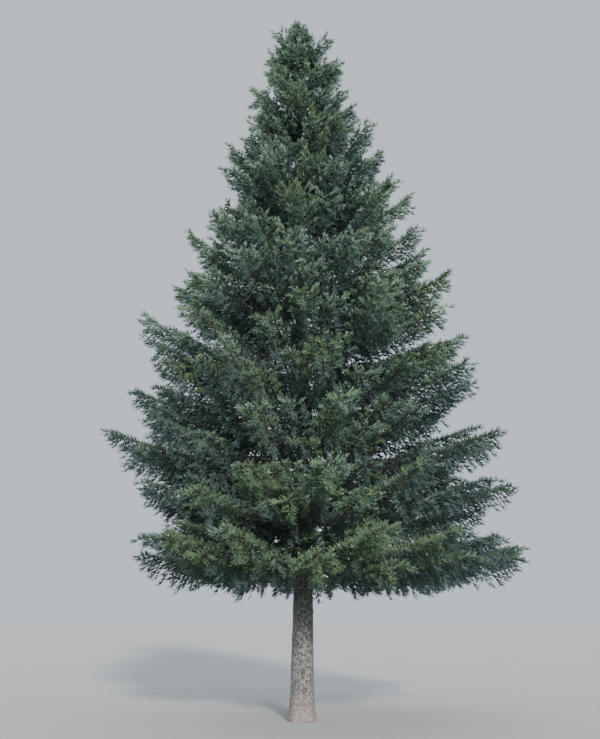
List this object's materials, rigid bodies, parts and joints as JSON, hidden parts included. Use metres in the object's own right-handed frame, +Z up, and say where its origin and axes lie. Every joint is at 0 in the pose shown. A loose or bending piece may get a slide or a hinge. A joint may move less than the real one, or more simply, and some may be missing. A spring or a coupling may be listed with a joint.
{
  "type": "balsam fir tree",
  "caption": "Tall evergreen conifer with a straight trunk, bare at the foot, and rising tiers of boughs that end in dense flat sprays of needles; stands rooted on level ground.",
  "frame": {"origin": "centre of the flat cut under the trunk, at ground level", "axes": "+Z up the tree; the picture looks along +Y with +X to its right"},
  "size_m": [6.9489, 7.1582, 12],
  "materials": {
    "bark": "matte",
    "needles": "matte"
  },
  "bodies": {
    "root": {"trunk": "bark", "bough_1_1": "bark", "bough_1_2": "bark", "bough_1_3": "bark", "bough_1_4": "bark", "bough_1_5": "bark", "bough_2_1": "bark", "bough_2_2": "bark", "bough_2_3": "bark", "bough_2_4": "bark", "bough_2_5": "bark", "bough_3_1": "bark", "bough_3_2": "bark", "bough_3_3": "bark", "bough_3_4": "bark", "bough_4_1": "bark", "bough_4_2": "bark", "bough_4_3": "bark", "bough_4_4": "bark", "foliage_1_1": "needles", "foliage_1_2": "needles", "foliage_1_3": "needles", "foliage_1_4": "needles", "foliage_1_5": "needles", "foliage_2_1": "needles", "foliage_2_2": "needles", "foliage_2_3": "needles", "foliage_2_4": "needles", "foliage_2_5": "needles", "foliage_3_1": "needles", "foliage_3_2": "needles", "foliage_3_3": "needles", "foliage_3_4": "needles", "foliage_4_1": "needles", "foliage_4_2": "needles", "foliage_4_3": "needles", "foliage_4_4": "needles", "foliage_5_1": "needles", "foliage_5_2": "needles", "foliage_5_3": "needles", "foliage_5_4": "needles", "foliage_6_1": "needles", "foliage_6_2": "needles", "foliage_6_3": "needles", "foliage_6_4": "needles", "foliage_7_1": "needles", "foliage_7_2": "needles", "foliage_7_3": "needles", "foliage_8_1": "needles", "foliage_8_2": "needles", "foliage_8_3": "needles", "foliage_9_1": "needles", "foliage_9_2": "needles", "foliage_9_3": "needles", "foliage_10_1": "needles", "foliage_10_2": "needles", "foliage_10_3": "needles", "foliage_11_1": "needles", "foliage_11_2": "needles", "foliage_top": "needles"}
  },
  "joints": []
}
